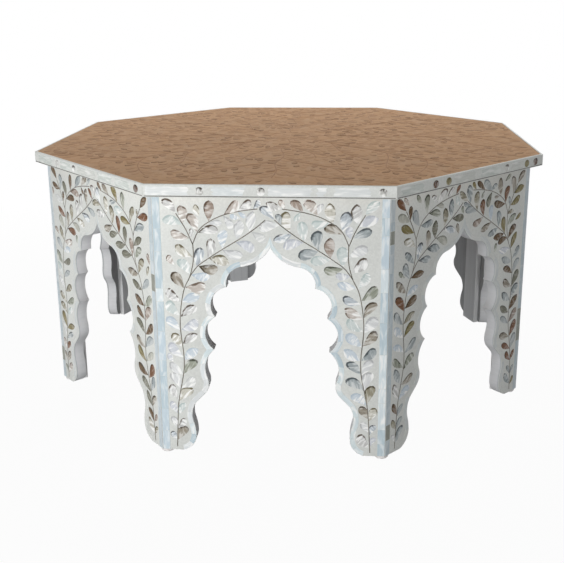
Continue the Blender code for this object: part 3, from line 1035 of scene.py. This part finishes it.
# Which way the painted shade falls on the leaves of a side
LEAF_SHADED_SIDE = math.radians(120)
LEAF_GAP = 0.0012
LEAF_FOOT_GAP = 0.002
LEAF_TOP_GAP = 0.004
SIDE_LOOSE_LEAVES = 160
SIDE_LOOSE_LENGTH = 0.019
SIDE_LOOSE_LEAN = 0.6
STRIP_CORNER_GAP = 0.0009
STRIP_END_GAP = 0.0010
SHORTEST_STRIP = 0.005
SIDE_VINE_SEED = 40
SIDE_LEAF_SEED = 7
STRIP_SEED = 90
STRIP_TONE_SEED = 31
# Leaves and strips of the front and its opposite, and of the other six sides. The front and back get mostly
# pale pearl leaves, the other six mostly darker shell: partly shell of other kinds, partly painted light, the
# pearly sheen that changes with the angle of view painted pale on the front and back and dark on the rest.
FRONT_INLAY = {
    "strip_width": FRONT_STRIP_WIDTH,
    "strip_lengths": (0.018, 0.060),
    "leaves": {"Width": 1.0, "Dark share": 0.20, "Dark drift": 0.8, "Dark range": 0.56},
    "border_tones": tone_range(0.545, 0.705, 0.25),
    "corner_tones": tone_range(0.64, 0.749),
}
SIDE_INLAY = {
    "strip_width": SIDE_STRIP_WIDTH,
    "strip_lengths": (0.014, 0.034),
    "leaves": {"Width": 0.82, "Dark share": 0.88, "Dark drift": 0.6, "Dark range": 1.0},
    "border_tones": tone_range(0.75, 0.874),
    "corner_tones": tone_range(0.875, 1.0),
}


def side_border(strip_width):
    """The line that leaves keep inside on a side: arch border, corner strips and the top."""
    beside = strip_width + LEAF_GAP
    widths = [ARCH_BORDER_END + LEAF_GAP] * ARCH_RUNS
    widths += [LEAF_FOOT_GAP, beside, LEAF_TOP_GAP, beside, LEAF_FOOT_GAP]
    return outline_points(*inset(STATIONS, BULGES, widths), [max(1, steps // 2) for steps in RUN_STEPS])


def side_vine(seed, strip_width):
    """The stems and leaves of one side."""
    chance = random.Random(seed)
    reach = (BODY_HALF_WIDTH - strip_width) / (BODY_HALF_WIDTH - SIDE_STRIP_WIDTH) / 1000
    stems = {}
    for hand in (1, -1):
        for name, controls in SIDE_VINE.items():
            stems[name, hand] = smooth_line([(hand * x * reach, z / 1000) for x, z in controls])
    field = VineField(side_border(strip_width), list(stems.values()))
    for name, spacing, start, spread in SIDE_ORDER:
        for hand in (1, -1):
            field.dress(stems[name, hand], spacing, start, LEAF_LENGTH, spread, chance)

    def outwards(base):
        return math.pi / 2 - math.copysign(SIDE_LOOSE_LEAN, base[0])

    field.fill(SIDE_LOOSE_LEAVES, SIDE_LOOSE_LENGTH, outwards, chance)
    return field


def corner_strip_chips(width, lengths, chance):
    """Pearl strips up both ends of a side, in pieces of uneven length."""
    end = BODY_HALF_WIDTH - STRIP_CORNER_GAP
    top = BODY_TOP - STRIP_END_GAP
    chips = []
    for left in (end - width, -end):
        low = FOOT_LEVEL + STRIP_END_GAP
        while low < top - SHORTEST_STRIP:
            high = low + chance.uniform(*lengths)
            if top - high < lengths[0]:
                high = top
            chips.append(box_chip(left, low, left + width, high - CHIP_JOINT, True))
            low = high
    return chips


def make_side_inlay():
    """Leaves, stems, arch border and corner strips of every side."""
    border = arch_border_chips()
    for side in range(SIDES):
        number = side + 1
        place = side_matrix(side, BODY_APOTHEM)
        inlay = SIDE_INLAY if side % 4 else FRONT_INLAY
        field = side_vine(SIDE_VINE_SEED + number, inlay["strip_width"])
        looks = {"Dark side": LEAF_SHADED_SIDE, "Seed": SIDE_LEAF_SEED * number, "Finish": leaf_shell}
        lay_leaves(f"shell_leaves_{number}", CREAM_INLAY, place, field.leaves, {**inlay["leaves"], **looks})
        lay_stems(f"vine_stems_{number}", CREAM_INLAY, place, field.stems, stem_line)
        chance = random.Random(STRIP_SEED + number)
        corners = corner_strip_chips(inlay["strip_width"], inlay["strip_lengths"], chance)
        seed = STRIP_TONE_SEED * number
        lay_chips(f"arch_border_{number}", place, border, strip_shell, seed, inlay["border_tones"])
        lay_chips(f"corner_strips_{number}", place, corners, strip_shell, seed, inlay["corner_tones"])


# The top. Stems of one sector, in millimetres to the right and out from the centre.
FIELD_APOTHEM = TOP_APOTHEM - EDGE_STRIP_THICKNESS - GLUE_LINE
CENTRE_RING_RADIUS = 0.041
CENTRE_RING_STEPS = 40
CENTRE_LEAF_START = 0.006
CENTRE_LEAF_LENGTH = 0.030
TOP_VINE = {
    "main": ((0, 41), (6, 90), (-5, 150), (5, 220), (-4, 290), (3, 350), (0, 405)),
    "low_right": ((1, 100), (16, 135), (38, 165), (56, 200), (62, 236)),
    "low_left": ((-2, 122), (-20, 152), (-42, 185), (-59, 222), (-66, 260)),
    "mid_right": ((3, 236), (28, 268), (62, 296), (93, 326), (108, 360)),
    "mid_left": ((0, 262), (-28, 292), (-62, 320), (-94, 348), (-114, 380)),
    "high_right": ((2, 335), (26, 362), (58, 386), (94, 404), (132, 418)),
    "high_left": ((1, 352), (-26, 377), (-58, 398), (-94, 415), (-134, 427)),
}
TOP_LEAF_LENGTH = 0.025
TOP_LEAF_SPACING = 0.0225
TOP_LEAF_SPREAD = 0.85
TOP_MAIN_START = 0.028
TOP_BRANCH_START = 0.018
TOP_LOOSE_LEAVES = 600
TOP_LOOSE_LENGTH = 0.021
TOP_LOOSE_LEAN = 8
TOP_VINE_SEED = 17
# The top's leaves have their painted shade turned to one side
TOP_LEAVES = {"Width": 0.9, "Dark share": 0.32, "Dark range": 1.0, "Dark side": -math.pi / 2, "Seed": 5}
# A sector's leaves may reach a little into its neighbours, and keep off the ring and the edge
SECTOR_REACH = 1.25 * HALF_SECTOR
RING_GAP = 0.002
EDGE_GAP = 0.003


def sector_border():
    """The line that leaves keep inside on a sector of the top, as (across, out from the centre)."""
    low, high = CENTRE_RING_RADIUS + RING_GAP, FIELD_APOTHEM - EDGE_GAP
    far = high / math.cos(SECTOR - SECTOR_REACH)
    right = [(radius * math.sin(SECTOR_REACH), radius * math.cos(SECTOR_REACH)) for radius in (low, far)]
    right.append((high * math.tan(HALF_SECTOR), high))
    return right + [(-x, y) for x, y in reversed(right)]


def on_circle(turn, radius):
    return Vector((math.cos(turn), math.sin(turn))) * radius


def turned(point, turn):
    """A point of a sector, (across, out), on the top."""
    across, out = point
    x = across * math.cos(turn) + out * math.sin(turn)
    return Vector((x, across * math.sin(turn) - out * math.cos(turn)))


def top_pattern():
    """The stems and leaves of the whole top: one sector's turned round, a rosette and a ring."""
    chance = random.Random(TOP_VINE_SEED)
    vine = {name: smooth_line([(x / 1000, y / 1000) for x, y in line]) for name, line in TOP_VINE.items()}
    field = VineField(sector_border(), list(vine.values()), SECTOR)
    for name, stem in vine.items():
        start = TOP_MAIN_START if name == "main" else TOP_BRANCH_START
        field.dress(stem, TOP_LEAF_SPACING, start, TOP_LEAF_LENGTH, TOP_LEAF_SPREAD, chance)

    def inwards(base):
        return math.pi / 2 - base[0] * TOP_LOOSE_LEAN

    field.fill(TOP_LOOSE_LEAVES, TOP_LOOSE_LENGTH, inwards, chance)
    stems, leaves = [], []
    for sector in range(SIDES):
        spin = sector * SECTOR
        stems += [[turned(point, spin) for point in stem] for stem in field.stems]
        leaves += [(tuple(turned(base, spin)), spin - angle, length) for base, angle, length in field.leaves]
        heading = spin + HALF_SECTOR
        leaves.append((tuple(on_circle(heading, CENTRE_LEAF_START)), heading, CENTRE_LEAF_LENGTH))
    turns = [2 * math.pi * step / CENTRE_RING_STEPS for step in range(CENTRE_RING_STEPS + 1)]
    stems.append([on_circle(turn, CENTRE_RING_RADIUS) for turn in turns])
    return stems, leaves


def make_top():
    """The tan field of the top, with its leaves and stems."""
    place = Matrix.Translation((0.0, 0.0, TABLE_HEIGHT))
    stems, leaves = top_pattern()
    lay_leaves("top_leaves", TAN_INLAY, place, leaves, {**TOP_LEAVES, "Finish": tan_shell})
    lay_stems("top_stems", TAN_INLAY, place, stems, tan_stem_line)
    radius = FIELD_APOTHEM / math.cos(HALF_SECTOR)
    rings = []
    for size, level in (
        (radius, -FIELD_THICKNESS),
        (radius, -GROUND_DEPTH - TOP_ARRIS),
        (radius - TOP_ARRIS, -GROUND_DEPTH),
    ):
        corners = [on_circle(HALF_SECTOR + corner * SECTOR, size) for corner in range(SIDES)]
        rings.append([(x, y, level) for x, y in corners])
    ground = closed_loft("top_ground", rings)
    ground.materials.append(tan_resin)
    ground.transform(place)
    keep("top_ground", ground, TAN_INLAY, "top_inlay_field")


# The edge band round the top. Centres of dots, and centres and lengths of strips, in mm from the left end.
FRONT_EDGE = {
    "pale": (86, 178, 358),
    "strips": ((37, 64), (129, 48), (222, 62), (268, 11), (313, 51)),
    "strip_tones": tone_range(0.0, 0.25),
}
PAIRED_EDGE = {
    "pale": (272,),
    "brown": (88, 356),
    "olive": (119, 330),
    "strips": ((34, 50), (160, 50), (228, 50), (301, 34)),
    "strip_tones": tone_range(0.25, 0.5),
}
PLAIN_EDGE = {
    "pale": (92, 155),
    "brown": (359,),
    "strips": ((45, 56), (124, 36), (200, 62), (262, 44), (318, 44)),
    "strip_tones": tone_range(0.25, 0.5),
}
EDGES = (FRONT_EDGE, PAIRED_EDGE, FRONT_EDGE, PLAIN_EDGE) * 2
DOT_TONES = {"pale": tone_range(0.0, 0.4), "brown": tone_range(0.5, 0.79), "olive": tone_range(0.8, 1.0)}
EDGE_STRIP_HEIGHT = 0.013
EDGE_STRIP_SPARE = 0.003
# The painted shadow line under each band: its gap from the band's ends, and its bottom and top above the
# underside
SHADOW_LINE_GAP = 0.0022
SHADOW_LINE_LEVELS = (0.0013, 0.0026)
SHARP_ON_EDGES = 46
EDGE_TEAR_SEED = 60
EDGE_STRIP_TONE_SEED = 11
DOT_TONE_SEED = 5
SHADOW_LINE_SEED = 3


def edge_band():
    """One side's mitred band, with its outer arrises softened."""
    lower = [(-EDGE_STRIP_THICKNESS, TOP_UNDERSIDE)]
    lower += [(-GROUND_DEPTH - inward, TOP_UNDERSIDE + up) for inward, up in softened(*EDGE_ARRIS)]
    profile = lower + [(out, TABLE_HEIGHT + TOP_UNDERSIDE - level) for out, level in reversed(lower)]
    rings = []
    for hand in (-1, 1):
        ends = [hand * ((TOP_APOTHEM + out) * math.tan(HALF_SECTOR) - MITRE_GAP) for out, _ in profile]
        rings.append([(end, level, out) for end, (out, level) in zip(ends, profile)])
    mesh = closed_loft("edge_band", rings, SHARP_ON_EDGES)
    mesh.materials.append(cream_resin)
    return mesh


def make_edges():
    """The cream bands round the top, with pearl strips, a dark line painted as the band's shadow, and round
    dots.
    """
    middle = TABLE_HEIGHT - TOP_THICKNESS / 2
    low, high = middle - EDGE_STRIP_HEIGHT / 2, middle + EDGE_STRIP_HEIGHT / 2
    half = TOP_APOTHEM * math.tan(HALF_SECTOR)
    line_end = half - SHADOW_LINE_GAP
    line_low, line_high = (TOP_UNDERSIDE + level for level in SHADOW_LINE_LEVELS)
    line = box_chip(-line_end, line_low, line_end, line_high, False)
    for number, layout in enumerate(EDGES, 1):
        place = side_matrix(number - 1, TOP_APOTHEM)
        band = edge_band()
        band.transform(place)
        keep(f"edge_band_{number}", band, CREAM_INLAY, f"edge_strip_{number}")
        chance = random.Random(EDGE_TEAR_SEED + number)
        strips = []
        for spot, length in layout["strips"]:
            left = (spot - length / 2) / 1000 - half
            right = left + length / 1000
            strips.append(torn_chip(left - EDGE_STRIP_SPARE, low, right + EDGE_STRIP_SPARE, high, chance))
        seed = EDGE_STRIP_TONE_SEED * number
        lay_chips(f"edge_strips_{number}", place, strips, strip_shell, seed, layout["strip_tones"])
        tones = tone_range(0.0, 1.0)
        # A thin dark line along the foot of the band, painted shadow of its overhang
        lay_chips(f"edge_line_{number}", place, [line], painted_shadow_line, SHADOW_LINE_SEED, tones, LINE_HEIGHT)
        for kind, tones in DOT_TONES.items():
            dots = [dot_chip(spot / 1000 - half, middle, EDGE_DOT_RADIUS) for spot in layout.get(kind, ())]
            if dots:
                lay_chips(f"{kind}_dots_{number}", place, dots, dot_shell, DOT_TONE_SEED * number, tones)


# The corner boards inside
BOARD_FACE_NORMAL = 0.9


def make_corner_boards():
    """The board across each inner corner, with softened arrises, grey on its face and pale on its edges."""
    inner = BODY_APOTHEM - FACE_THICKNESS - BOARD_THICKNESS - 3 * GLUE_LINE
    corner = inner / math.cos(HALF_SECTOR)
    half = POST_WIDTH / 2
    shoulder = corner - half * math.tan(HALF_SECTOR)
    back = shoulder - POST_EDGE
    plan = [(half, shoulder)]
    plan += [(half - inward, back + up) for inward, up in reversed(softened(*POST_ARRIS))]
    plan = [(0.0, corner)] + plan + [(-x, y) for x, y in reversed(plan)]
    rings = [[(x, -y, level) for x, y in plan] for level in (FOOT_LEVEL, BODY_TOP)]
    for number in range(1, SIDES + 1):
        board = closed_loft("corner_board", rings)
        two_finishes(board, edge_paint, grey_paint, lambda normal: normal.y > BOARD_FACE_NORMAL)
        board.transform(Matrix.Rotation((2 * number - 1) * HALF_SECTOR, 4, "Z"))
        keep(f"corner_board_{number}", board, "grey_paint", f"corner_post_{number}")


# Finishes of the solids that show as they are
FINISHES = {
    "foot_pad": white_nylon,
    "top_cleat": bare_wood,
    "cleat_screw": zinc_steel,
    "top_board": bare_wood,
}


def finish_solids():
    for name, node in nodes.items():
        family = name.rstrip("0123456789").rstrip("_")
        if family in FINISHES:
            node.data.materials.clear()
            node.data.materials.append(FINISHES[family])


# The room. Lamps by place, target, width, height and watts. Those behind the table stay out of its gloss.
FRONT_LAMPS = {
    "key": ((-0.95, -1.38, 0.40), (-0.15, -0.35, 0.22), 0.8, 0.6, 10.8),
    "fill": ((0.7, -4.5, 0.75), (0.0, 0.0, 0.25), 1.6, 1.2, 71.5),
}
BACK_LAMPS = {
    "top": ((-0.7, 2.0, 2.5), (0.0, 0.0, 0.4), 1.8, 1.4, 66.0),
    "side": ((2.4, 1.9, 2.6), (0.0, 0.0, 0.4), 1.4, 1.2, 47.0),
}
WHITE = (1.0, 1.0, 1.0, 1.0)
SKY = (0.92, 0.95, 1.0, 1.0)
SKY_STRENGTH = 0.04
FLOOR_REACH = 12.0
FLOOR_GREY = (0.30, 0.30, 0.30, 1.0)
# The floor near the table shows a little of its own shade, up to a distance from the middle
SHADE_START, SHADE_END = 0.7, 1.6
WHITE_SHARE = 0.965


def add_lamp(name, location, target, width, height, power):
    data = bpy.data.lights.new(name, "AREA")
    data.shape = "RECTANGLE"
    data.size = width
    data.size_y = height
    data.energy = power
    lamp = bpy.data.objects.new(name, data)
    lamp.location = location
    lamp.rotation_mode = "QUATERNION"
    lamp.rotation_quaternion = (Vector(target) - Vector(location)).to_track_quat("-Z", "Y")
    lamp.visible_camera = False
    lamp.visible_glossy = name in FRONT_LAMPS
    bpy.context.scene.collection.objects.link(lamp)


def background_rays(tree):
    """One for the rays that see the white background: from the camera, a gloss or through glass."""
    rays = tree.nodes.new("ShaderNodeLightPath").outputs
    seen = maths(tree, "MAXIMUM", rays["Is Camera Ray"], rays["Is Transmission Ray"])
    return maths(tree, "MAXIMUM", seen, rays["Is Glossy Ray"])


def floor_material():
    """Grey under the lamps, and white to the rays that see the background."""
    material, tree, shader = new_material("white_floor")
    place = object_place(tree)
    shader.inputs["Base Color"].default_value = FLOOR_GREY
    shader.inputs["Roughness"].default_value = 0.9
    shader.inputs["Specular IOR Level"].default_value = 0.1
    glow = wired(tree, "ShaderNodeEmission", {"Color": WHITE, "Strength": 1.0})
    away = wire(tree, "ShaderNodeVectorMath", {0: place}, operation="LENGTH").outputs["Value"]
    white = ranged(tree, away, SHADE_START, SHADE_END, WHITE_SHARE, 1.0)
    share = maths(tree, "MULTIPLY", background_rays(tree), white)
    both = wired(tree, "ShaderNodeMixShader", {0: share, 1: shader.outputs[0], 2: glow})
    tree.links.new(both, tree.nodes["Material Output"].inputs["Surface"])
    return material


def make_room():
    scene = bpy.context.scene
    scene.view_settings.view_transform = "Standard"
    scene.world = bpy.data.worlds.new("studio")
    scene.world.use_nodes = True
    tree = scene.world.node_tree
    sky = tree.nodes["Background"].inputs
    seen = background_rays(tree)
    tree.links.new(ranged(tree, seen, 0.0, 1.0, SKY_STRENGTH, 1.0), sky["Strength"])
    tree.links.new(mixed(tree, seen, SKY, WHITE), sky["Color"])
    mesh = bpy.data.meshes.new("floor")
    corners = [(x * FLOOR_REACH, y * FLOOR_REACH, 0.0) for x, y in ((-1, -1), (1, -1), (1, 1), (-1, 1))]
    mesh.from_pydata(corners, [], [(0, 1, 2, 3)])
    mesh.materials.append(floor_material())
    floor = bpy.data.objects.new("floor", mesh)
    scene.collection.objects.link(floor)
    for name, lamp in {**FRONT_LAMPS, **BACK_LAMPS}.items():
        add_lamp(name, *lamp)


# The camera, fitted to the photograph. Focus and axis are in its pixels, and turns in radians.
IMAGE_WIDTH, IMAGE_HEIGHT = 564, 563
CAMERA_YAW, CAMERA_PITCH, CAMERA_ROLL = 0.0826, 0.2443, -0.0092
CAMERA_PLACE = (0.1166, -1.6198, 0.7182)
CAMERA_FOCUS = 812.6
AXIS_ROW = 205.0


def make_camera():
    data = bpy.data.cameras.new("camera")
    camera = bpy.data.objects.new("camera", data)
    right = Vector((math.cos(CAMERA_YAW), math.sin(CAMERA_YAW), 0.0))
    level = Vector((-math.sin(CAMERA_YAW), math.cos(CAMERA_YAW), 0.0))
    forward = level * math.cos(CAMERA_PITCH) - Vector((0.0, 0.0, math.sin(CAMERA_PITCH)))
    turn = Matrix((right, right.cross(forward), -forward)).transposed()
    turn = turn @ Matrix.Rotation(CAMERA_ROLL, 3, "Z")
    camera.matrix_world = Matrix.Translation(CAMERA_PLACE) @ turn.to_4x4()
    data.sensor_width = 36.0
    data.lens = CAMERA_FOCUS * data.sensor_width / IMAGE_WIDTH
    data.shift_y = (AXIS_ROW - IMAGE_HEIGHT / 2) / IMAGE_WIDTH
    data.clip_start = 0.05
    data.clip_end = 60.0
    bpy.context.scene.collection.objects.link(camera)
    bpy.context.scene.camera = camera


make_sides()
make_side_inlay()
make_top()
make_edges()
make_corner_boards()
finish_solids()
make_room()
make_camera()
